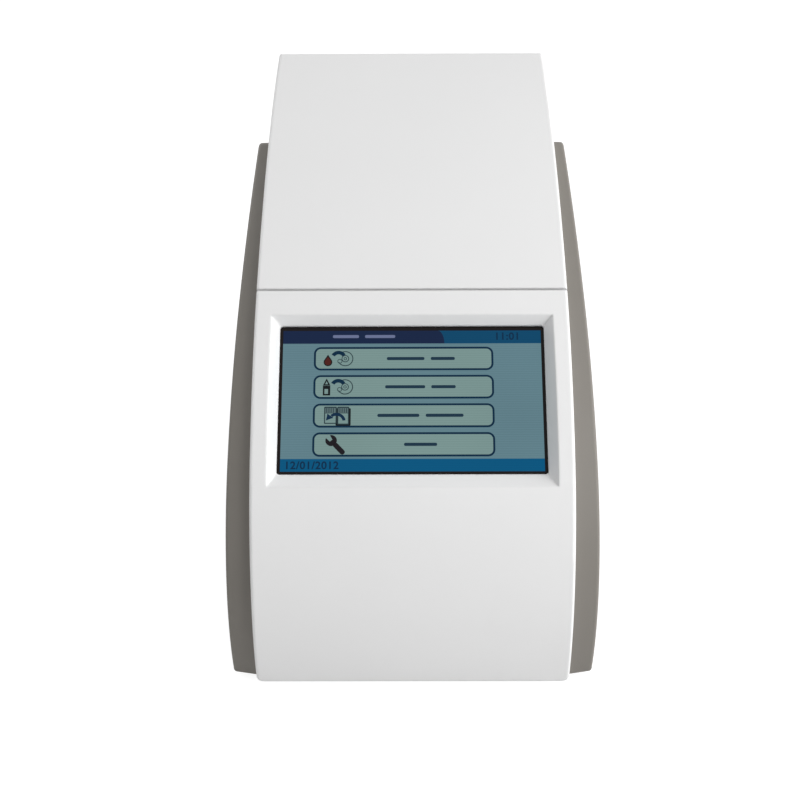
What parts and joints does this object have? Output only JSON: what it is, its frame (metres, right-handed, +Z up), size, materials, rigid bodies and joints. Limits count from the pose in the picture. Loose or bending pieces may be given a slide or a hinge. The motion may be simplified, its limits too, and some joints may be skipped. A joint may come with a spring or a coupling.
{
  "type": "point-of-care analyzer",
  "caption": "Compact desktop point-of-care analyzer with a sloping touch display, a lift-up lid over a spinning disc compartment and warm grey side covers.",
  "frame": {"origin": "centre of the bounding box at the underside of the rubber feet", "axes": "+X to the right as seen by the user at the display, +Y from the display to the rear, +Z up"},
  "size_m": [0.135, 0.2341, 0.184],
  "materials": {
    "white_abs": "fine satin moulded",
    "grey_abs": "fine textured moulded",
    "pale_grey_abs": "satin moulded",
    "black_abs": "matt moulded",
    "smoke_polycarbonate": "clear polished, smoke tint",
    "dark_acetal": "satin moulded",
    "steel": "turned",
    "zinc_plate": "zinc plated, pressed",
    "aluminium": "milled",
    "nickel": "nickel plated",
    "seal_rubber": "matt foam rubber",
    "foot_rubber": "matt",
    "lens_glass": "polished",
    "screen_glass": "anti-glare touch panel",
    "board_green": "solder resist"
  },
  "bodies": {
    "base": {"front_shell": "white_abs", "rear_shell": "white_abs", "base_tray": "white_abs", "left_side_cover": "grey_abs", "right_side_cover": "grey_abs", "left_fin_liner": "white_abs", "right_fin_liner": "white_abs", "deck_tray": "pale_grey_abs", "chassis_frame": "black_abs", "lid_seal": "seal_rubber", "hinge_pin_left": "steel", "hinge_pin_right": "steel", "cover_pin": "steel", "spindle_motor": "zinc_plate", "motor_screws": "steel", "heater_plate": "aluminium", "optics_block": "black_abs", "code_reader": "black_abs", "lens_left": "lens_glass", "lens_right": "lens_glass", "display_window": "screen_glass", "lcd_module": "zinc_plate", "display_bracket": "zinc_plate", "display_board": "board_green", "main_board": "board_green", "usb_host_port": "nickel", "usb_device_port": "nickel", "dc_inlet": "black_abs", "coin_cell": "nickel", "speaker": "black_abs", "power_switch": "black_abs", "power_spring": "steel", "lock_solenoid": "zinc_plate", "base_screws": "steel", "deck_screws": "steel", "cover_screws": "steel", "foot_front_left": "foot_rubber", "foot_front_right": "foot_rubber", "foot_rear_left": "foot_rubber", "foot_rear_right": "foot_rubber"},
    "lid": {"lid_shell": "white_abs", "lid_liner": "pale_grey_abs"},
    "disc_cover": {"disc_cover": "smoke_polycarbonate", "puck_retainer": "pale_grey_abs"},
    "clamp": {"clamp_puck": "dark_acetal"},
    "turntable": {"turntable": "dark_acetal", "spindle_shaft": "steel"},
    "plunger": {"lock_plunger": "steel"},
    "button": {"power_button": "grey_abs"}
  },
  "joints": [
    {"name": "lid_hinge", "type": "hinge", "parent": "base", "child": "lid", "pos_m": [0, 0.11089, 0.1141], "axis": [-1, 0, 0], "range_deg": [0, 75]},
    {"name": "disc_cover_hinge", "type": "hinge", "parent": "base", "child": "disc_cover", "pos_m": [0, 0.06, 0.1215], "axis": [-1, 0, 0], "range_deg": [0, 60]},
    {"name": "clamp_spin", "type": "hinge", "parent": "disc_cover", "child": "clamp", "pos_m": [0, 0.014, 0.122], "axis": [0, 0, 1], "continuous": true},
    {"name": "turntable_spin", "type": "hinge", "parent": "base", "child": "turntable", "pos_m": [0, 0.014, 0.106], "axis": [0, 0, 1], "continuous": true},
    {"name": "lock_slide", "type": "slide", "parent": "base", "child": "plunger", "axis": [0, -1, 0], "range_m": [0, 0.004]},
    {"name": "power_button_press", "type": "slide", "parent": "base", "child": "button", "axis": [0, -1, 0], "range_m": [0, 0.0015], "stiffness_N_per_m": 400, "deforming": ["power_spring"]}
  ],
  "couplings": [
    {"joint": "disc_cover_hinge", "follows": "lid_hinge", "ratio": 0.8},
    {"joint": "clamp_spin", "follows": "turntable_spin", "ratio": 1}
  ]
}
